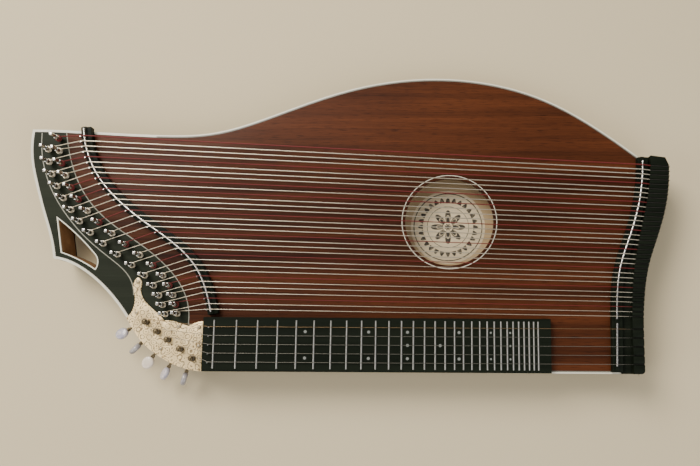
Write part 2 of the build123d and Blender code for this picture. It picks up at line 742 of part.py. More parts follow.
wheel_root = wheel_pitch_radius - dedendum
wheel_tip = wheel_pitch_radius + addendum
for i, (post, angle) in enumerate(zip(posts, button_angles)):
    with BuildPart() as string_post:
        with BuildSketch(Plane.XY.offset(box_low + pin_foot)):
            with Locations(post):
                Circle(post_radius)
        extrude(amount=top + post_rise - box_low - pin_foot)
        fillet(string_post.edges().group_by(Axis.Z)[-1], post_radius / 2)
        with BuildSketch(Plane.XY.offset(worm_z - wheel_width / 2)):
            with Locations(Location(post, angle - 90)):
                Circle(wheel_tip)
                for k in range(teeth):
                    turn = radians(k * 360 / teeth)
                    notch = [(wheel_root, -gap_root), (wheel_tip + 1, -gap_tip),
                             (wheel_tip + 1, gap_tip), (wheel_root, gap_root)]
                    Polygon(*[(r * cos(turn) - w * sin(turn), r * sin(turn) + w * cos(turn)) for r, w in notch],
                            align=None, mode=Mode.SUBTRACT)
        extrude(amount=wheel_width)
    with BuildPart() as post_coil:
        with BuildSketch(Plane.XY.offset(top + post_coil_low)):
            with Locations(post):
                Circle(post_coil_outer)
                Circle(post_radius, mode=Mode.SUBTRACT)
        extrude(amount=post_coil_high - post_coil_low)
    name = f"string_post_{i + 1}"
    export_step(Compound(label=name, children=[string_post.part, post_coil.part]), f"parts/{name}.step")

with BuildPart() as thread:
    with BuildLine() as thread_line:
        Helix(pitch=worm_pitch, height=2 * worm_half, radius=shaft_radius)
    with BuildSketch(Plane(origin=thread_line.line @ 0, x_dir=(1, 0, 0), z_dir=thread_line.line % 0)):
        crest = worm_pitch_radius + addendum - shaft_radius
        Polygon((-thread_sink, -thread_root), (crest, -thread_tip), (crest, thread_tip),
                (-thread_sink, thread_root), align=None)
    sweep(path=thread_line.line, is_frenet=True)
with BuildPart() as worm:
    with Locations(Location((0, 0, -worm_half), (0, 0, -360 * worm_half / worm_pitch))):
        add(thread.part)
    Cylinder(shaft_radius, 2 * (worm_half + lug_gap))

for i, (angle, turn) in enumerate(zip(button_angles, button_turns)):
    reach = shaft_lines[i][2]
    inner_end = worm_half + lug_gap + lug_thickness + end_clearance
    plane = shaft_plane(i)
    button_middle = plane.offset(reach)
    flat = Plane(origin=button_middle.origin, x_dir=plane.z_dir,
                 z_dir=Vector(0, 0, 1).rotate(Axis((0, 0, 0), plane.z_dir), turn))
    with BuildPart() as worm_shaft:
        with Locations(plane):
            add(worm.part)
        with BuildSketch(plane.offset(-inner_end)):
            Circle(shaft_radius)
        extrude(amount=inner_end + reach)
        with BuildSketch(plane.offset(reach - button_length / 2 - ferrule_length)):
            Circle(ferrule_radius)
        extrude(amount=ferrule_length)
    with BuildPart() as button:
        with BuildSketch(flat):
            Ellipse(button_length / 2, button_width / 2)
        extrude(amount=button_thickness / 2, both=True)
        fillet(button.edges(), button_rounding)
        with BuildSketch(plane.offset(reach - button_length)):
            Circle(shaft_radius)
        extrude(amount=button_length, mode=Mode.SUBTRACT)
        with BuildSketch(plane.offset(reach - button_length / 2 - ferrule_length)):
            Circle(ferrule_radius)
        extrude(amount=ferrule_length, mode=Mode.SUBTRACT)
    name = f"worm_shaft_{i + 1}"
    export_step(Compound(label=name, children=[worm_shaft.part, button.part]), f"parts/{name}.step")
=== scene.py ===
import bpy
import json
import numpy as np
from math import cos, pi, radians, sin
from mathutils import Matrix, Vector


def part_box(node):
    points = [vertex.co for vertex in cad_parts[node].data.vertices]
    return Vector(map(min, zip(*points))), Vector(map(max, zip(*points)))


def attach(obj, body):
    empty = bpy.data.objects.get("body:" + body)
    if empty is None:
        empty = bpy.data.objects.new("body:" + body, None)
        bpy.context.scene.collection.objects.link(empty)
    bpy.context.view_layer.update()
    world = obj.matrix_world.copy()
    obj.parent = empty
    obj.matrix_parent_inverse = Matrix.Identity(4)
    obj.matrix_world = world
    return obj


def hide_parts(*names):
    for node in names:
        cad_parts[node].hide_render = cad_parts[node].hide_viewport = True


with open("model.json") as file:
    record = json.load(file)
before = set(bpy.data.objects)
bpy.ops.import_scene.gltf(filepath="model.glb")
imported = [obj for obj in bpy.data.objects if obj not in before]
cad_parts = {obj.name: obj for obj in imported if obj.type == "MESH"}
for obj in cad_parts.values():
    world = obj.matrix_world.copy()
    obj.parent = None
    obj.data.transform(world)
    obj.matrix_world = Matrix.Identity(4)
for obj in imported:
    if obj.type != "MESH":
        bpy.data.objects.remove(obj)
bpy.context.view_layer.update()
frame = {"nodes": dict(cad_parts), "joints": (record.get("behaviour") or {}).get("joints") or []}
nodes = frame["nodes"]
mm = 0.001
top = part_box("soundboard")[1].z
print("frame loaded")


# selecting and shaping

def pick(piece):
    bpy.ops.object.select_all(action="DESELECT")
    piece.select_set(True)
    bpy.context.view_layer.objects.active = piece


def editAll(piece):
    pick(piece)
    bpy.ops.object.mode_set(mode="EDIT")
    bpy.ops.mesh.select_all(action="SELECT")


def objectMode():
    bpy.ops.object.mode_set(mode="OBJECT")


def bake(piece, kind, **values):
    pick(piece)
    modifier = piece.modifiers.new(kind.title(), kind)
    for name, value in values.items():
        setattr(modifier, name, value)
    bpy.ops.object.modifier_apply(modifier=modifier.name)


def bevelRims(piece, width, segments, degrees=60):
    bake(piece, "BEVEL", width=width, segments=segments, limit_method="ANGLE", angle_limit=radians(degrees))


def selectFaces(piece, test):
    bpy.ops.mesh.select_all(action="DESELECT")
    bpy.ops.mesh.select_mode(type="FACE")
    objectMode()
    for face in piece.data.polygons:
        face.select = bool(test(face))
    bpy.ops.object.mode_set(mode="EDIT")


def smooth(piece, degrees=35):
    pick(piece)
    bpy.ops.object.shade_smooth_by_angle(angle=radians(degrees))


def settle(piece, matrix=None):
    # the object goes to the origin, with its place in its mesh
    bpy.context.view_layer.update()
    piece.data.transform(matrix @ piece.matrix_world if matrix else piece.matrix_world)
    piece.matrix_world = Matrix.Identity(4)
    return piece


def newest(name):
    piece = bpy.context.active_object
    piece.name = name
    piece.data.name = name
    return piece


def cadCopy(node, name):
    piece = nodes[node].copy()
    piece.data = nodes[node].data.copy()
    piece.name = name
    piece.parent = None
    piece.hide_viewport = piece.hide_render = False
    for key in list(piece.keys()):
        del piece[key]
    bpy.context.scene.collection.objects.link(piece)
    piece.data.materials.clear()
    editAll(piece)
    bpy.ops.mesh.customdata_custom_splitnormals_clear()
    bpy.ops.mesh.remove_doubles(threshold=0.002 * mm)
    objectMode()
    return piece


def copied(pattern, name):
    piece = pattern.copy()
    piece.data = pattern.data.copy()
    piece.name = name
    bpy.context.scene.collection.objects.link(piece)
    return piece


def looseParts(piece):
    editAll(piece)
    bpy.ops.mesh.separate(type="LOOSE")
    objectMode()
    return list(bpy.context.selected_objects)


def joined(pieces, name):
    bpy.ops.object.select_all(action="DESELECT")
    for piece in pieces:
        piece.select_set(True)
    bpy.context.view_layer.objects.active = pieces[0]
    if len(pieces) > 1:
        bpy.ops.object.join()
    return newest(name)


def points(piece):
    return np.array([v.co[:] for v in piece.data.vertices])


def finished(piece, material, body, stands=()):
    piece.data.materials.clear()
    piece.data.materials.append(material)
    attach(piece, body)
    if stands:
        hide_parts(*stands)
    return piece


# node trees

def wire(tree, source, target):
    tree.links.new(source, target)


def maths(tree, operation, a, b=None, clamp=False):
    item = tree.nodes.new("ShaderNodeMath")
    item.operation = operation
    item.use_clamp = clamp
    for socket, value in zip(item.inputs, (a, b)):
        if value is None:
            continue
        if isinstance(value, (int, float)):
            socket.default_value = value
        else:
            wire(tree, value, socket)
    return item.outputs[0]


def blendColours(tree, share, a, b):
    item = tree.nodes.new("ShaderNodeMix")
    item.data_type = "RGBA"
    for socket, value in ((item.inputs[0], share), (item.inputs[6], a), (item.inputs[7], b)):
        if isinstance(value, (int, float)):
            socket.default_value = value
        elif isinstance(value, tuple):
            socket.default_value = (*value, 1)
        else:
            wire(tree, value, socket)
    return item.outputs[2]


def ramp(tree, value, low, high):
    item = tree.nodes.new("ShaderNodeMapRange")
    wire(tree, value, item.inputs["Value"])
    item.inputs["From Min"].default_value = low
    item.inputs["From Max"].default_value = high
    return item.outputs["Result"]


def noise(tree, vector, scale, detail=4.0, rough=0.55, twist=0.0):
    item = tree.nodes.new("ShaderNodeTexNoise")
    item.inputs["Detail"].default_value = detail
    item.inputs["Roughness"].default_value = rough
    item.inputs["Distortion"].default_value = twist
    if isinstance(scale, (int, float)):
        item.inputs["Scale"].default_value = scale
    else:
        wire(tree, scale, item.inputs["Scale"])
    wire(tree, vector, item.inputs["Vector"])
    return item.outputs["Fac"]


def stretched(tree, vector, scale, place=(0, 0, 0)):
    item = tree.nodes.new("ShaderNodeMapping")
    item.inputs["Scale"].default_value = scale
    item.inputs["Location"].default_value = place
    wire(tree, vector, item.inputs["Vector"])
    return item.outputs["Vector"]


def newGroup(name, takes, gives):
    group = bpy.data.node_groups.new(name, "ShaderNodeTree")
    for label, kind, value in takes:
        socket = group.interface.new_socket(label, in_out="INPUT", socket_type=kind)
        socket.default_value = value
    for label, kind in gives:
        group.interface.new_socket(label, in_out="OUTPUT", socket_type=kind)
    start = group.nodes.new("NodeGroupInput")
    end = group.nodes.new("NodeGroupOutput")
    return group, start.outputs, end.inputs


floatSocket, colourSocket = "NodeSocketFloat", "NodeSocketColor"


def buildGrain():
    group, takes, gives = newGroup("woodGrain", [
        ("Light", colourSocket, (0.2, 0.08, 0.03, 1)), ("Dark", colourSocket, (0.03, 0.01, 0.005, 1)),
        ("Streaks", floatSocket, 60.0), ("Pores", floatSocket, 0.5), ("Sheen", floatSocket, 0.35)],
        [("Colour", colourSocket), ("Roughness", floatSocket), ("Height", floatSocket)])
    place = group.nodes.new("ShaderNodeTexCoord").outputs["Object"]
    broad = noise(group, stretched(group, place, (0.018, 1, 1)), takes["Streaks"], 5, 0.6, 0.25)
    fine = noise(group, stretched(group, place, (0.02, 1, 1), (3, 1, 2)), 620, 3, 0.6)
    pore = noise(group, stretched(group, place, (0.045, 1, 1), (5, 4, 0)), 1500, 2, 0.5)
    cloud = noise(group, stretched(group, place, (0.5, 1, 1)), 7, 2, 0.5)
    figure = maths(group, "ADD", maths(group, "MULTIPLY", ramp(group, broad, 0.36, 0.66), 0.62),
                   maths(group, "MULTIPLY", ramp(group, fine, 0.3, 0.7), 0.24))
    figure = maths(group, "ADD", figure, maths(group, "MULTIPLY", ramp(group, cloud, 0.42, 0.72), 0.28), True)
    wood = blendColours(group, figure, takes["Dark"], takes["Light"])
    lines = maths(group, "MULTIPLY", ramp(group, pore, 0.56, 0.66), takes["Pores"], True)
    wire(group, blendColours(group, lines, wood, takes["Dark"]), gives["Colour"])
    wire(group, maths(group, "ADD", takes["Sheen"], maths(group, "MULTIPLY", fine, 0.12)), gives["Roughness"])
    wire(group, maths(group, "SUBTRACT", maths(group, "MULTIPLY", fine, 0.3), lines), gives["Height"])
    return group


def buildWear():
    group, takes, gives = newGroup("handWear", [
        ("Colour", colourSocket, (0.5, 0.5, 0.5, 1)), ("Worn", colourSocket, (0.4, 0.4, 0.4, 1)),
        ("Amount", floatSocket, 0.4), ("Sheen", floatSocket, 0.3), ("Size", floatSocket, 40.0)],
        [("Colour", colourSocket), ("Roughness", floatSocket), ("Height", floatSocket)])
    place = group.nodes.new("ShaderNodeTexCoord").outputs["Object"]
    patches = noise(group, place, takes["Size"], 5, 0.6)
    specks = noise(group, stretched(group, place, (1, 1, 1), (2, 5, 1)), 900, 2, 0.6)
    share = maths(group, "MULTIPLY", ramp(group, patches, 0.35, 0.7), takes["Amount"], True)
    wire(group, blendColours(group, share, takes["Colour"], takes["Worn"]), gives["Colour"])
    change = maths(group, "ADD", maths(group, "MULTIPLY", share, 0.15),
                   maths(group, "MULTIPLY", specks, 0.06))
    wire(group, maths(group, "ADD", takes["Sheen"], change), gives["Roughness"])
    wire(group, specks, gives["Height"])
    return group


def buildScrolls():
    group, takes, gives = newGroup("scrollEngraving", [
        ("Leaves", floatSocket, 95.0), ("Turns", floatSocket, 26.0)],
        [("Lines", floatSocket), ("Height", floatSocket)])
    place = group.nodes.new("ShaderNodeTexCoord").outputs["Object"]
    flat = stretched(group, place, (1, 1, 0))
    sway = group.nodes.new("ShaderNodeTexNoise")
    sway.inputs["Scale"].default_value = 130
    wire(group, flat, sway.inputs["Vector"])
    shift = group.nodes.new("ShaderNodeVectorMath")
    shift.operation = "MULTIPLY_ADD"
    shift.inputs[1].default_value = (0.004, 0.004, 0)
    wire(group, sway.outputs["Color"], shift.inputs[0])
    wire(group, flat, shift.inputs[2])
    cells = group.nodes.new("ShaderNodeTexVoronoi")
    wire(group, takes["Leaves"], cells.inputs["Scale"])
    wire(group, shift.outputs[0], cells.inputs["Vector"])
    swirl = maths(group, "SINE", maths(group, "MULTIPLY", cells.outputs["Distance"], takes["Turns"]))
    cross = noise(group, flat, 700, 2, 0.5, 0.6)
    lines = maths(group, "MULTIPLY", ramp(group, swirl, 0.35, 0.75), ramp(group, cross, 0.34, 0.50), True)
    wire(group, lines, gives["Lines"])
    wire(group, maths(group, "MULTIPLY", lines, -1.0), gives["Height"])
    return group


def buildWinding():
    group, takes, gives = newGroup("windingTurns", [
        ("Colour", colourSocket, (0.5, 0.5, 0.5, 1)), ("Groove", colourSocket, (0.1, 0.1, 0.1, 1)),
        ("Pitch", floatSocket, 2200.0)], [("Colour", colourSocket), ("Height", floatSocket)])
    place = group.nodes.new("ShaderNodeTexCoord").outputs["Object"]
    split = group.nodes.new("ShaderNodeSeparateXYZ")
    wire(group, place, split.inputs[0])
    turn = maths(group, "SINE", maths(group, "MULTIPLY", maths(group, "ADD", split.outputs["X"],
                 maths(group, "MULTIPLY", split.outputs["Z"], 0.3)), takes["Pitch"]))
    ridge = ramp(group, turn, -1, 1)
    tone = noise(group, stretched(group, place, (0.2, 1, 1)), 60, 2, 0.5)
    # painted shade: the groove colour darkens the hollows between the turns and the ridges take the full
    # colour, mixed with a random tone
    shade = maths(group, "MULTIPLY", maths(group, "ADD", maths(group, "MULTIPLY", ridge, 0.5), 0.5),
                  maths(group, "ADD", maths(group, "MULTIPLY", tone, 0.4), 0.75), True)
    wire(group, blendColours(group, shade, takes["Groove"], takes["Colour"]), gives["Colour"])
    wire(group, ridge, gives["Height"])
    return group


grainGroup, wearGroup = buildGrain(), buildWear()
scrollGroup, windingGroup = buildScrolls(), buildWinding()


def newMaterial(name, **values):
    material = bpy.data.materials.new(name)
    material.use_nodes = True
    tree = material.node_tree
    shader = tree.nodes["Principled BSDF"]
    for label, value in values.items():
        shader.inputs[label.replace("_", " ")].default_value = value
    return material, tree, shader


def placeGroup(tree, group, **values):
    item = tree.nodes.new("ShaderNodeGroup")
    item.node_tree = group
    for label, value in values.items():
        item.inputs[label].default_value = (*value, 1) if isinstance(value, tuple) else value
    return item.outputs


def bumpFrom(tree, shader, height, strength, distance):
    item = tree.nodes.new("ShaderNodeBump")
    item.inputs["Strength"].default_value = strength
    item.inputs["Distance"].default_value = distance
    wire(tree, height, item.inputs["Height"])
    wire(tree, item.outputs["Normal"], shader.inputs["Normal"])


def wood(name, light, dark, streaks, pores, sheen, coat=0.0, relief=0.25, shine=0.35):
    material, tree, shader = newMaterial(name, Coat_Weight=coat, Coat_Roughness=0.12,
                                         Specular_IOR_Level=shine)
    grain = placeGroup(tree, grainGroup, Light=light, Dark=dark, Streaks=streaks, Pores=pores, Sheen=sheen)
    wire(tree, grain["Colour"], shader.inputs["Base Color"])
    wire(tree, grain["Roughness"], shader.inputs["Roughness"])
    bumpFrom(tree, shader, grain["Height"], relief, 0.0002)
    return material


def worn(name, colour, wornColour, sheen, metallic=0.0, amount=0.4, size=40.0, coat=0.0, relief=0.1):
    material, tree, shader = newMaterial(name, Metallic=metallic, Coat_Weight=coat, Coat_Roughness=0.15)
    wear = placeGroup(tree, wearGroup, Colour=colour, Worn=wornColour, Amount=amount, Sheen=sheen, Size=size)
    wire(tree, wear["Colour"], shader.inputs["Base Color"])
    wire(tree, wear["Roughness"], shader.inputs["Roughness"])
    bumpFrom(tree, shader, wear["Height"], relief, 0.0001)
    return material


def wound(name, colour, grooveShade, pitch, sheen, metallic):
    material, tree, shader = newMaterial(name, Metallic=metallic, Roughness=sheen)
    turns = placeGroup(tree, windingGroup, Colour=colour, Groove=grooveShade, Pitch=pitch)
    wire(tree, turns["Colour"], shader.inputs["Base Color"])
    bumpFrom(tree, shader, turns["Height"], 0.35, 0.0001)
    return material


rosewood = wood("rosewoodTop", (0.125, 0.036, 0.012), (0.018, 0.006, 0.003), 62.0, 0.6, 0.36, coat=0.03,
                shine=0.08)
stainedRib = wood("stainedSides", (0.030, 0.016, 0.009), (0.009, 0.005, 0.003), 50.0, 0.5, 0.34, coat=0.3)
insideSpruce = wood("paleSpruce", (0.62, 0.43, 0.23), (0.42, 0.26, 0.12), 130.0, 0.2, 0.55)
blockMaple = wood("blockMaple", (0.42, 0.24, 0.10), (0.25, 0.12, 0.045), 90.0, 0.35, 0.5)
blackVeneer = wood("blackVeneer", (0.026, 0.030, 0.018), (0.014, 0.017, 0.010), 75.0, 0.25, 0.40, relief=0.10,
                   shine=0.08)
ebony = wood("ebony", (0.012, 0.015, 0.009), (0.005, 0.007, 0.004), 110.0, 0.35, 0.36, relief=0.12,
             shine=0.06)
creamBinding = worn("creamBinding", (0.86, 0.82, 0.66), (0.74, 0.68, 0.50), 0.30, amount=0.4, coat=0.2)
darkPly = worn("darkPly", (0.040, 0.030, 0.022), (0.070, 0.050, 0.035), 0.4)
greyPly = worn("greyPly", (0.30, 0.29, 0.22), (0.20, 0.19, 0.14), 0.4)
dotPearl = worn("dotPearl", (0.26, 0.27, 0.24), (0.16, 0.17, 0.15), 0.25, amount=0.8, size=900.0, coat=0.3)
nickel = worn("nickel", (0.72, 0.70, 0.65), (0.48, 0.45, 0.40), 0.17, metallic=1.0, amount=0.35, size=160.0)
fretNickel = worn("fretNickel", (0.62, 0.60, 0.54), (0.45, 0.43, 0.38), 0.28, metallic=1.0, amount=0.4,
                  size=120.0)
agedBrass = worn("agedBrass", (0.21, 0.16, 0.09), (0.08, 0.06, 0.035), 0.24, metallic=1.0, amount=0.7,
                 size=220.0)
screwBrass = worn("screwBrass", (0.58, 0.48, 0.32), (0.34, 0.26, 0.15), 0.3, metallic=1.0, amount=0.6,
                  size=300.0)
footRubber = worn("footRubber", (0.018, 0.018, 0.017), (0.035, 0.034, 0.032), 0.62, amount=0.6, relief=0.3)
# the second colour of each wound string is painted shade for the hollows between its turns
silverString = wound("silverWinding", (0.84, 0.74, 0.56), (0.34, 0.28, 0.20), 5200.0, 0.32, 1.0)
redString = wound("redSilkWinding", (0.19, 0.011, 0.009), (0.07, 0.004, 0.004), 6200.0, 0.6, 0.0)
# painted shade: a dark finish for the strings where they sink into the rail's slots, standing in for the
# shadow there
shadedString = worn("paintedSlotShade", (0.022, 0.020, 0.015), (0.045, 0.040, 0.030), 0.5, metallic=0.4,
                    size=200.0)
bronzeString = wound("bronzeString", (0.30, 0.19, 0.09), (0.14, 0.08, 0.04), 7000.0, 0.35, 0.7)
steelString = worn("steelString", (0.20, 0.185, 0.15), (0.13, 0.12, 0.10), 0.30, metallic=0.7, size=90.0)


def makePlateGold():
    material, tree, shader = newMaterial("engravedGilt", Metallic=0.3)
    wear = placeGroup(tree, wearGroup, Colour=(1.0, 0.76, 0.40), Worn=(0.90, 0.64, 0.30), Amount=0.6,
                      Sheen=0.30, Size=120.0)
    scrolls = placeGroup(tree, scrollGroup, Leaves=150.0, Turns=20.0)
    shade = maths(tree, "MULTIPLY", scrolls["Lines"], 0.88)
    wire(tree, blendColours(tree, shade, wear["Colour"], (0.13, 0.075, 0.03)), shader.inputs["Base Color"])
    wire(tree, maths(tree, "ADD", wear["Roughness"], maths(tree, "MULTIPLY", scrolls["Lines"], 0.2)),
         shader.inputs["Roughness"])
    bumpFrom(tree, shader, scrolls["Height"], 0.6, 0.0002)
    return material


def makePearl(name, cool, warm, depth):
    material, tree, shader = newMaterial(name, Coat_Weight=0.8, Coat_Roughness=0.06)
    place = tree.nodes.new("ShaderNodeTexCoord").outputs["Object"]
    layers = noise(tree, stretched(tree, place, (1, 1, 2.4)), 210, 3, 0.5, 1.2)
    bands = noise(tree, stretched(tree, place, (1, 1, 1), (1, 2, 3)), 90, 2, 0.5, 0.8)
    base = blendColours(tree, ramp(tree, layers, 0.38, 0.62), cool, warm)
    base = blendColours(tree, maths(tree, "MULTIPLY", ramp(tree, bands, 0.45, 0.7), 0.6), base, depth)
    wire(tree, base, shader.inputs["Base Color"])
    wire(tree, maths(tree, "ADD", maths(tree, "MULTIPLY", layers, 0.2), 0.14), shader.inputs["Roughness"])
    bumpFrom(tree, shader, layers, 0.12, 0.0002)
    return material


def makeBackWood():
    # pale inside the box, stained on the outside
    material, tree, shader = newMaterial("backBoardWood", Specular_IOR_Level=0.3)
    pale = placeGroup(tree, grainGroup, Light=(0.66, 0.48, 0.27), Dark=(0.46, 0.30, 0.14), Streaks=130.0,
                      Pores=0.2, Sheen=0.5)
    stain = placeGroup(tree, grainGroup, Light=(0.075, 0.030, 0.013), Dark=(0.020, 0.008, 0.004),
                       Streaks=45.0, Pores=0.5, Sheen=0.34)
    split = tree.nodes.new("ShaderNodeSeparateXYZ")
    wire(tree, tree.nodes.new("ShaderNodeTexCoord").outputs["Object"], split.inputs[0])
    outside = maths(tree, "LESS_THAN", split.outputs["Z"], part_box("back_board")[1].z - 0.05 * mm)
    wire(tree, blendColours(tree, outside, pale["Colour"], stain["Colour"]), shader.inputs["Base Color"])
    wire(tree, pale["Roughness"], shader.inputs["Roughness"])
    bumpFrom(tree, shader, pale["Height"], 0.2, 0.0002)
    return material


plateGold = makePlateGold()
backWood = makeBackWood()
whitePearl = makePearl("whitePearl", (0.46, 0.42, 0.50), (0.72, 0.64, 0.60), (0.38, 0.38, 0.42))
creamPearl = makePearl("creamPearl", (0.86, 0.72, 0.56), (0.92, 0.80, 0.66), (0.76, 0.62, 0.50))
greyPearl = makePearl("greyPearl", (0.36, 0.33, 0.34), (0.48, 0.44, 0.40), (0.24, 0.22, 0.20))
print("materials made")


# CAD pieces that stay as they are

nodeFinish = {
    "soundboard": rosewood, "back_board": backWood, "side_ribs": stainedRib, "pin_block": blockMaple,
    "hitch_block": blockMaple, "braces": insideSpruce, "head_plate": blackVeneer, "fretboard": ebony,
    "frets": fretNickel, "bridge_rods": nickel, "string_pins": nickel, "feet": footRubber}
for node, material in nodeFinish.items():
    nodes[node].data.materials.clear()
    nodes[node].data.materials.append(material)


# bridges and rail, with their edges rounded

edges = {"stringRail": (0.30 * mm, 2), "bridgeBases": (0.8 * mm, 3), "angle": 50, "smoothing": 40}


def rounded(node, name):
    width, segments = edges[name]
    piece = cadCopy(node, name)
    editAll(piece)
    bpy.ops.mesh.dissolve_limited(angle_limit=radians(1.5))
    objectMode()
    bake(piece, "BEVEL", width=width, segments=segments, limit_method="ANGLE",
         angle_limit=radians(edges["angle"]), harden_normals=False, use_clamp_overlap=True)
    bake(piece, "TRIANGULATE", min_vertices=5)
    smooth(piece, edges["smoothing"])
    return piece


finished(rounded("string_rail", "stringRail"), ebony, "body", ["string_rail"])
finished(rounded("bridges", "bridgeBases"), ebony, "body", ["bridges"])
print("bridges and rail made")


# strings: each is a tube of the frame, continued to the coil that it comes from

strings = {
    "count": 33, "red": (1, 5, 9, 11, 15, 19, 23, 27, 31), "tubeSides": 8, "stepsPerTurn": 14,
    "pinCoilTurns": 3.25, "pinCoilPitch": 0.95 * mm, "postCoilTurns": 2.5, "postCoilPitch": 0.52 * mm,
    "endReach": 1.3 * mm, "aimFrom": 2 * mm, "leftOf": -50 * mm, "rightOf": 250 * mm, "middle": 100 * mm,
    "wireGap": 2.05, "overlap": 0.4 * mm, "lap": 0.2 * mm, "slotShadeFrom": 290 * mm, "slotShadeBelow": 9.9 * mm}


def endOfTube(piece):
    # the ring at the pin end, the direction towards the pin and the wire's radius
    where = points(piece)
    first = where[where[:, 0] < where[:, 0].min() + strings["endReach"]]
    count = len(first)
    tip = first.mean(0)
    heading = np.array([1.0, 0.0, 0.0])
    for _ in range(3):
        rest = where[((where - tip) @ heading) > strings["aimFrom"]]
        ring = rest[np.argsort(rest @ heading)][:count].mean(0)
        heading = (ring - tip) / np.linalg.norm(ring - tip)
    return tip, -heading, float(np.linalg.norm(first - tip, axis=1).mean())


def makeTube(name, start, end, radius):
    start, end = Vector(start), Vector(end)
    along = end - start
    bpy.ops.mesh.primitive_cylinder_add(vertices=strings["tubeSides"], radius=radius, depth=along.length)
    piece = newest(name)
    editAll(piece)
    bpy.ops.mesh.bevel(offset=radius * 0.25, segments=1)
    objectMode()
    turn = along.to_track_quat("Z", "Y").to_matrix().to_4x4()
    return settle(piece, Matrix.Translation((start + end) / 2) @ turn)


def makeCoil(name, centre, tangent, wireRadius, turns, pitch):
    # a ring of wire carried round the pin by a screw
    reach = (Vector(tangent).xy - Vector(centre).xy).length
    angle = np.arctan2(tangent[1] - centre[1], tangent[0] - centre[0])
    bpy.ops.mesh.primitive_circle_add(vertices=strings["tubeSides"], radius=wireRadius, fill_type="NOTHING")
    piece = newest(name)
    piece.data.transform(Matrix.Translation((reach, 0, 0)) @ Matrix.Rotation(pi / 2, 4, "X"))
    steps = int(strings["stepsPerTurn"] * turns)
    bake(piece, "SCREW", axis="Z", angle=2 * pi * turns, screw_offset=pitch * turns, steps=steps,
         render_steps=steps, use_normal_calculate=True)
    editAll(piece)
    bpy.ops.mesh.remove_doubles(threshold=0.001 * mm)
    bpy.ops.mesh.select_all(action="DESELECT")
    bpy.ops.mesh.select_mode(type="EDGE")
    bpy.ops.mesh.select_non_manifold()
    bpy.ops.mesh.edge_face_add()
    bpy.ops.mesh.select_all(action="SELECT")
    bpy.ops.mesh.normals_make_consistent(inside=False)
    objectMode()
    smooth(piece, 60)
    place = Matrix.Translation((centre[0], centre[1], tangent[2]))
    return settle(piece, place @ Matrix.Rotation(angle, 4, "Z"))


tubes = looseParts(cadCopy("strings", "string"))
melodyCount = len(tubes) - strings["count"]


def midHeight(piece):
    # the y of a string where it crosses the middle of the soundboard
    where = points(piece)
    left = where[where[:, 0] < strings["leftOf"]].mean(0)
    right = where[where[:, 0] > strings["rightOf"]].mean(0)
    return left[1] + (right[1] - left[1]) * (strings["middle"] - left[0]) / (right[0] - left[0])


tubes.sort(key=lambda piece: -midHeight(piece))
coils = []
groups = {"red": [], "silver": [], "bronze": [], "steel": []}
for number, tube in enumerate(tubes, 1):
    openString = number <= strings["count"]
    body = f"tuning_pin_{number:02d}" if openString else f"string_post_{number - strings['count']}"
    low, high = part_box(body)
    centre = np.array([(low.x + high.x) / 2, (low.y + high.y) / 2, 0])
    tip, heading, radius = endOfTube(tube)
    reach = ((centre - tip) * [1, 1, 0]) @ heading / (heading[0] ** 2 + heading[1] ** 2)
    tangent = tip + heading * reach
    if number in strings["red"]:
        kind = "red"
    elif openString:
        kind = "silver"
    else:
        kind = "bronze" if number == strings["count"] + 1 else "steel"
    editAll(tube)
    bpy.ops.mesh.normals_make_consistent(inside=False)
    objectMode()
    groups[kind] += [tube, makeTube("lead", tip - heading * strings["overlap"],
                                    tangent + heading * strings["lap"], radius)]
    if openString:
        turns, pitch = strings["pinCoilTurns"], max(strings["pinCoilPitch"], strings["wireGap"] * radius)
    else:
        turns, pitch = strings["postCoilTurns"], strings["postCoilPitch"]
    coils.append((makeCoil(f"coil_{number:02d}", centre, tangent, radius, turns, pitch), body, kind))

stringFinish = {"red": redString, "silver": silverString, "bronze": bronzeString, "steel": steelString}
coilFinish = {**stringFinish, "bronze": steelString}
for kind, members in groups.items():
    piece = joined(members, f"{kind}Strings")
    smooth(piece, 50)
    finished(piece, stringFinish[kind], "body", ["strings"])
    # painted shade: string faces past the rail's inner edge and low in its slots take the dark finish, for
    # the shadow in the slots
    piece.data.materials.append(shadedString)
    for face in piece.data.polygons:
        if face.center.x > strings["slotShadeFrom"] and face.center.z < top + strings["slotShadeBelow"]:
            face.material_index = 1
print("strings made")


# tuning pins

pin = {"sides": 24, "shankRadius": 2.3 * mm, "shankRounding": 0.5 * mm, "headLength": 9.0 * mm,
       "headWidth": 3.3 * mm, "headRounding": 0.55 * mm, "crownInset": 0.6 * mm, "crownRise": 0.05 * mm}
pinLow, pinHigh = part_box("tuning_pin_01")
shankLength = pinHigh.z - pinLow.z - pin["headLength"]


def makePin():
    bpy.ops.mesh.primitive_cylinder_add(vertices=pin["sides"], radius=pin["shankRadius"],
                                        depth=shankLength, location=(0, 0, pinLow.z + shankLength / 2))
    shank = newest("shank")
    bevelRims(shank, pin["shankRounding"], 2)
    settle(shank)
    bpy.ops.mesh.primitive_cube_add(size=1, location=(0, 0, pinHigh.z - pin["headLength"] / 2))
    head = newest("head")
    head.scale = (pin["headWidth"], pin["headWidth"], pin["headLength"])
    settle(head)
    editAll(head)
    bpy.ops.mesh.bevel(offset=pin["headRounding"], segments=3, affect="EDGES")
    selectFaces(head, lambda face: face.normal.z > 0.99)
    bpy.ops.transform.translate(value=(0, 0, -pin["crownRise"]))
    bpy.ops.mesh.inset(thickness=pin["crownInset"])
    bpy.ops.transform.translate(value=(0, 0, pin["crownRise"]))
    objectMode()
    piece = joined([shank, head], "pin")
    smooth(piece, 40)
    return piece


pattern = makePin()
for number in range(1, strings["count"] + 1):
    node = f"tuning_pin_{number:02d}"
    low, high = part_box(node)
    piece = copied(pattern, f"pin_{number:02d}")
    settle(piece, Matrix.Translation(((low.x + high.x) / 2, (low.y + high.y) / 2, 0)))
    finished(piece, nickel, node, [node])
bpy.data.objects.remove(pattern)
for coil, body, kind in coils:
    finished(coil, coilFinish[kind], body, [body])
print("tuning pins made")


# machine head

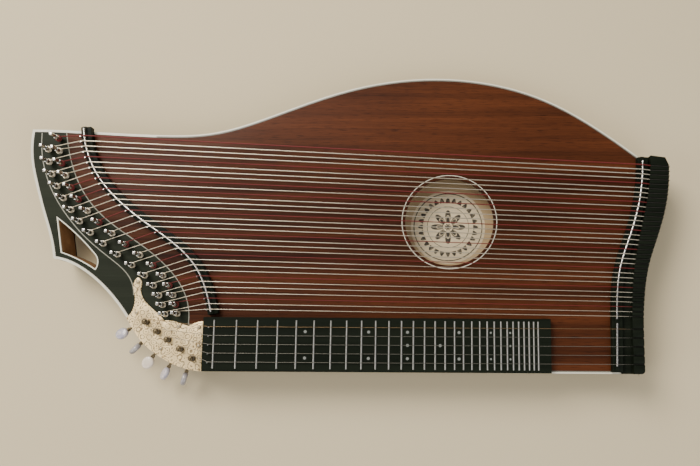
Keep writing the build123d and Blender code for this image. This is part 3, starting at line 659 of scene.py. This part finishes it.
screw = {"radius": 1.9 * mm, "rise": 1.0 * mm, "rounding": 0.55 * mm, "slotWidth": 0.45 * mm,
         "slotDepth": 0.45 * mm, "sides": 24, "turnEach": 37}
plate = {"rounding": 0.25 * mm, "flat": 0.01 * mm}
platePiece = cadCopy("machine_plate", "machinePlate")
headTop = points(platePiece)[:, 2].max()
plateTop = headTop - screw["rise"]
screwPlaces = []
for face in platePiece.data.polygons:
    if face.normal.z > 0.99 and face.center.z > headTop - plate["flat"]:
        near = [place for place in screwPlaces if (place[0] - face.center.xy).length < 2 * screw["radius"]]
        if near:
            near[0].append(face.center.xy.copy())
        else:
            screwPlaces.append([face.center.xy.copy()])
screwPlaces = [sum(group, Vector((0, 0))) / len(group) for group in screwPlaces]


def partOfScrew(face):
    if min((place - face.center.xy).length for place in screwPlaces) > screw["radius"]:
        return False
    upper = face.normal.z > 0.9 and abs(face.center.z - plateTop) < plate["flat"]
    lower = face.normal.z < -0.9 and abs(face.center.z - top) < plate["flat"]
    return not upper and not lower


# the screws come out of the plate, and their holes are closed
editAll(platePiece)
selectFaces(platePiece, partOfScrew)
bpy.ops.mesh.delete(type="FACE")
bpy.ops.mesh.select_all(action="SELECT")
bpy.ops.mesh.fill_holes(sides=64)
objectMode()


def makeScrew():
    bpy.ops.mesh.primitive_cylinder_add(vertices=screw["sides"], radius=screw["radius"], depth=screw["rise"],
                                        location=(0, 0, plateTop + screw["rise"] / 2))
    piece = newest("screwHead")
    settle(piece)
    bevelRims(piece, screw["rounding"], 3)
    bpy.ops.mesh.primitive_cube_add(size=1, location=(0, 0, plateTop + screw["rise"]))
    cutter = newest("slotCutter")
    cutter.scale = (3 * screw["radius"], screw["slotWidth"], 2 * screw["slotDepth"])
    settle(cutter)
    bake(piece, "BOOLEAN", operation="DIFFERENCE", object=cutter, solver="EXACT")
    bpy.data.objects.remove(cutter)
    smooth(piece, 35)
    return piece


pattern = makeScrew()
screwHeads = []
for number, middle in enumerate(screwPlaces, 1):
    piece = copied(pattern, "screwHead")
    slotTurn = Matrix.Rotation(radians(screw["turnEach"] * number), 4, "Z")
    settle(piece, Matrix.Translation((middle[0], middle[1], 0)) @ slotTurn)
    screwHeads.append(piece)
bpy.data.objects.remove(pattern)
editAll(platePiece)
bpy.ops.mesh.dissolve_limited(angle_limit=radians(1.0))
objectMode()
bevelRims(platePiece, plate["rounding"], 2, 50)
bake(platePiece, "TRIANGULATE", min_vertices=5)
smooth(platePiece, 35)
finished(platePiece, plateGold, "body", ["machine_plate"])
finished(joined(screwHeads, "plateScrews"), screwBrass, "body", ["machine_plate"])

post = {"sides": 32, "radius": 2.5 * mm, "domeWidth": 1.5 * mm, "domeSegments": 6, "foot": 0.4 * mm,
        "sink": 0.2 * mm, "collar": 3.3 * mm, "collarRise": 0.7 * mm, "collarRounding": 0.3 * mm}
button = {"sides": 48, "length": 14.5 * mm, "width": 12.5 * mm, "thickness": 5.6 * mm, "rounding": 2.5 * mm,
          "segments": 6, "edgeShare": 0.45, "seat": 0.3 * mm,
          "finishes": [whitePearl, greyPearl, creamPearl, whitePearl, greyPearl]}
joints = {joint["name"]: joint for joint in frame["joints"]}


def cutOff(piece, place, normal):
    # the side of a plane that its normal points to goes, and the cut is closed
    editAll(piece)
    bpy.ops.mesh.bisect(plane_co=place, plane_no=normal, use_fill=True, clear_outer=True)
    objectMode()
    smooth(piece, 35)


def addPost(name, centre, low, high):
    bpy.ops.mesh.primitive_cylinder_add(vertices=post["sides"], radius=post["radius"], depth=high - low,
                                        location=(*centre, (low + high) / 2))
    piece = settle(newest(name))
    bevelRims(piece, post["domeWidth"], post["domeSegments"])
    bpy.ops.mesh.primitive_cylinder_add(vertices=post["sides"], radius=post["collar"],
                                        depth=post["collarRise"],
                                        location=(*centre, plateTop + post["collarRise"] / 2))
    collar = settle(newest("collar"))
    bevelRims(collar, post["collarRounding"], 2)
    return joined([piece, collar], name)


def addButton(name, middle, along, wide):
    bpy.ops.mesh.primitive_cylinder_add(vertices=button["sides"], radius=0.5, depth=1)
    piece = newest(name)
    piece.scale = (button["length"], button["width"], button["thickness"])
    settle(piece)
    bevelRims(piece, button["rounding"], button["segments"])
    smooth(piece, 60)
    turn = Matrix((along, wide, along.cross(wide))).transposed().to_4x4()
    return settle(piece, Matrix.Translation(middle) @ turn)


for i in range(1, melodyCount + 1):
    node = f"string_post_{i}"
    low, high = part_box(node)
    centre = ((low.x + high.x) / 2, (low.y + high.y) / 2)
    seat = plateTop + post["foot"]
    wheel = cadCopy(node, f"postWheel_{i}")
    cutOff(wheel, (*centre, seat), (0, 0, 1))
    finished(wheel, screwBrass, node, [node])
    knob = addPost(f"post_{i}", centre, seat - post["sink"], high.z)
    smooth(knob, 35)
    finished(knob, agedBrass, node, [node])

    node = f"worm_shaft_{i}"
    shaft = cadCopy(node, f"wormShaft_{i}")
    joint = joints[f"button_turn_{i}"]
    along = Vector(joint["axis"]).normalized()
    if along.y > 0:
        along = -along
    origin = Vector(joint["pos_m"])
    where = points(shaft) - np.array(origin)
    reach = where @ np.array(along)
    outer = where[reach > reach.max() - button["length"] * button["edgeShare"]]
    across = outer - np.outer(outer @ np.array(along), np.array(along))
    wide = Vector(np.linalg.eigh(across.T @ across)[1][:, 2])
    wide = (wide - along * wide.dot(along)).normalized()
    inner = origin + along * (reach.max() - button["length"] + button["seat"])
    cutOff(shaft, inner, along)
    finished(shaft, agedBrass, node, [node])
    middle = origin + along * (reach.max() - button["length"] / 2)
    pearl = addButton(f"pearlButton_{i}", middle, along, wide)
    finished(pearl, button["finishes"][i - 1], node, [node])
print("machine head made")


# binding: the edge band shows its plies, and the long lines are greyer than the rings

edging = {"width": 3.0 * mm, "plies": [0.50 * mm, 0.60 * mm, 0.45 * mm], "onlyCreamBelow": -205 * mm,
          "sampleStep": 0.4 * mm, "slack": 0.15 * mm, "flat": 0.01 * mm, "dot": 4.5 * mm,
          "lineEndsBefore": -100 * mm, "lineSpan": 100 * mm}
bindingParts = looseParts(cadCopy("binding", "inlay"))
bindingParts.sort(key=lambda piece: -np.ptp(points(piece)[:, 0]))
band, inlays = bindingParts[0], bindingParts[1:]


bandTop = points(band)[:, 2].max() - edging["flat"]


def onTop(face):
    return face.normal.z > 0.99 and face.center.z > bandTop


def topFaces(piece):
    return [face for face in piece.data.polygons if onTop(face)]


def outerOutline(piece):
    # points along the outer edge of the band's top
    seen, follow = {}, {}
    for face in topFaces(piece):
        for key in face.edge_keys:
            seen[key] = seen.get(key, 0) + 1
    for a, b in [key for key, count in seen.items() if count == 1]:
        follow.setdefault(a, []).append(b)
        follow.setdefault(b, []).append(a)
    where, loops = points(piece), []
    while follow:
        here = next(iter(follow))
        loop = [here]
        while True:
            following = [other for other in follow.pop(here) if other in follow]
            if not following:
                break
            here = following[0]
            loop.append(here)
        loops.append(where[loop + loop[:1]][:, :2])
    outer = max(loops, key=lambda loop: np.ptp(loop[:, 0]))
    samples = []
    for a, b in zip(outer[:-1], outer[1:]):
        count = int(np.linalg.norm(b - a) / edging["sampleStep"]) + 1
        samples.append(a + (b - a) * np.linspace(0, 1, count, endpoint=False)[:, None])
    return np.vstack(samples)


outline = outerOutline(band)


def fromOutside(face):
    return np.sqrt(((outline - np.array(face.center.xy)) ** 2).sum(1).min())


editAll(band)
selectFaces(band, lambda face: onTop(face) and fromOutside(face) < edging["width"] + edging["slack"])
for width in edging["plies"]:
    bpy.ops.mesh.inset(thickness=width, depth=0, use_boundary=True, use_even_offset=True)
objectMode()
finished(band, creamBinding, "body", ["binding"])
band.name = "edgeBinding"
for ply in (darkPly, greyPly):
    band.data.materials.append(ply)
borders = edging["width"] - np.cumsum(edging["plies"])
for face in topFaces(band):
    away = fromOutside(face)
    if away > edging["width"]:
        face.material_index = 2
    elif away > borders[0]:
        face.material_index = 1
    elif away > borders[2] and face.center.x > edging["onlyCreamBelow"]:
        face.material_index = 2 if away > borders[1] else 1
dots = [piece for piece in inlays if np.ptp(points(piece)[:, 0]) < edging["dot"]]
lines = [piece for piece in inlays if points(piece)[:, 0].max() < edging["lineEndsBefore"] and
         np.ptp(points(piece)[:, 1]) > edging["lineSpan"]]
rings = [piece for piece in inlays if piece not in lines and piece not in dots]
finished(joined(rings, "creamRings"), creamBinding, "body", ["binding"])
finished(joined(lines, "pinLine"), greyPly, "body", ["binding"])
finished(joined(dots, "fretDots"), dotPearl, "body", ["binding"])
print("binding made")


# label on the back board, seen through the soundhole

label = {"centre": (112 * mm, 9 * mm), "radius": 42 * mm, "thickness": 0.15 * mm,
         "ring": (38.5 * mm, 0.55 * mm), "innerRing": (23.5 * mm, 0.3 * mm),
         "flower": (8, 5 * mm, 19.5 * mm), "flowerFrom": 5.5 * mm,
         "heart": (8, 1.5 * mm, 4.2 * mm), "leaves": (28, 27 * mm, 34 * mm), "leavesFrom": 28.5 * mm,
         "vein": (8, 3 * mm, 13 * mm), "veinWidth": 0.55 * mm, "veinRange": (6.5 * mm, 19 * mm),
         "paper": ((0.74, 0.59, 0.36), (0.86, 0.71, 0.46)), "ink": (0.045, 0.035, 0.02)}


def makeLabelPaper():
    material, tree, shader = newMaterial("labelPaper")
    place = tree.nodes.new("ShaderNodeTexCoord").outputs["Object"]
    centred = stretched(tree, place, (1, 1, 0), (-label["centre"][0], -label["centre"][1], 0))
    split = tree.nodes.new("ShaderNodeSeparateXYZ")
    wire(tree, centred, split.inputs[0])
    length = tree.nodes.new("ShaderNodeVectorMath")
    length.operation = "LENGTH"
    wire(tree, centred, length.inputs[0])
    radius = length.outputs["Value"]
    angle = maths(tree, "ARCTAN2", split.outputs["Y"], split.outputs["X"])

    def ring(at, width):
        off = maths(tree, "ABSOLUTE", maths(tree, "SUBTRACT", radius, at))
        return maths(tree, "LESS_THAN", off, width)

    def petals(count, inner, outer, turn=0.0):
        swing = maths(tree, "MULTIPLY", maths(tree, "ADD", angle, turn), count / 2)
        lobe = maths(tree, "ABSOLUTE", maths(tree, "COSINE", swing))
        return maths(tree, "ADD", maths(tree, "MULTIPLY", lobe, outer - inner), inner)

    def between(inside, outside):
        return maths(tree, "MULTIPLY", maths(tree, "GREATER_THAN", radius, inside),
                     maths(tree, "LESS_THAN", radius, outside))

    ink = ring(*label["ring"])
    for extra in (ring(*label["innerRing"]), between(label["flowerFrom"], petals(*label["flower"])),
                  between(0.0, petals(*label["heart"], pi / 8)),
                  between(label["leavesFrom"], petals(*label["leaves"]))):
        ink = maths(tree, "MAXIMUM", ink, extra)
    vein = ring(petals(*label["vein"]), label["veinWidth"])
    ink = maths(tree, "SUBTRACT", ink, maths(tree, "MULTIPLY", vein, between(*label["veinRange"])), True)
    fibre = noise(tree, place, 800, 3, 0.6)
    paper = blendColours(tree, fibre, *label["paper"])
    fade = maths(tree, "MULTIPLY", ink, ramp(tree, noise(tree, place, 260, 2, 0.5), -0.2, 0.5), True)
    wire(tree, blendColours(tree, fade, paper, label["ink"]), shader.inputs["Base Color"])
    wire(tree, maths(tree, "ADD", maths(tree, "MULTIPLY", fibre, 0.15), 0.6), shader.inputs["Roughness"])
    bumpFrom(tree, shader, fibre, 0.1, 0.0001)
    return material


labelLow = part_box("back_board")[1].z
bpy.ops.mesh.primitive_cylinder_add(vertices=96, radius=label["radius"], depth=label["thickness"],
                                    location=(*label["centre"], labelLow + label["thickness"] / 2))
labelPiece = settle(newest("soundholeLabel"))
finished(labelPiece, makeLabelPaper(), "body")
print("label made")


# floor, light and camera

stage = {"size": 6.0, "colour": (0.72, 0.60, 0.38), "glow": (0.95, 0.96, 1.0), "glowStrength": 0.32}
bpy.ops.mesh.primitive_plane_add(size=stage["size"], location=(0, 0, 0))
floor = newest("floor")
floorMaterial = newMaterial("paleFloor", Roughness=0.9, Base_Color=(*stage["colour"], 1))[0]
floor.data.materials.append(floorMaterial)

lamps = {
    "key": {"place": (-1.05, 1.25, 1.85), "size": 1.3, "power": 70.0, "colour": (1.0, 0.96, 0.89)},
    "fill": {"place": (1.3, -1.3, 1.6), "size": 1.8, "power": 20.0, "colour": (0.97, 0.98, 1.0)},
    "side": {"place": (-1.5, -0.6, 1.3), "size": 1.2, "power": 12.0, "colour": (1.0, 0.98, 0.95)}}
target = Vector((0.0, 0.0, 0.03))
for name, lamp in lamps.items():
    bpy.ops.object.light_add(type="AREA", location=lamp["place"])
    light = bpy.context.active_object
    light.name = name
    light.data.size = lamp["size"]
    light.data.energy = lamp["power"]
    light.data.color = lamp["colour"]
    light.rotation_euler = (target - light.location).to_track_quat("-Z", "Y").to_euler()
world = bpy.data.worlds.new("studio")
world.use_nodes = True
glow = world.node_tree.nodes["Background"].inputs
glow["Color"].default_value = (*stage["glow"], 1)
glow["Strength"].default_value = stage["glowStrength"]
bpy.context.scene.world = world

view = {"place": (0.075, -0.135, 0.7343), "tilt": 7.1, "roll": -0.35, "lens": 33.43, "sensor": 36.0,
        "shiftX": -0.0929, "shiftY": 0.0586}
tilt, roll = radians(view["tilt"]), radians(view["roll"])
forward = Vector((0, sin(tilt), -cos(tilt)))
level = Vector((0, cos(tilt), sin(tilt)))
across = cos(roll) * Vector((1, 0, 0)) + sin(-roll) * level
upward = cos(roll) * level - sin(-roll) * Vector((1, 0, 0))
bpy.ops.object.camera_add(location=view["place"])
camera = bpy.context.active_object
camera.data.lens = view["lens"]
camera.data.sensor_width = view["sensor"]
camera.data.shift_x = view["shiftX"]
camera.data.shift_y = view["shiftY"]
camera.data.clip_end = 20
facing = Matrix((across, upward, -forward)).transposed().to_4x4()
camera.matrix_world = Matrix.Translation(view["place"]) @ facing
bpy.context.scene.camera = camera
print("stage made")
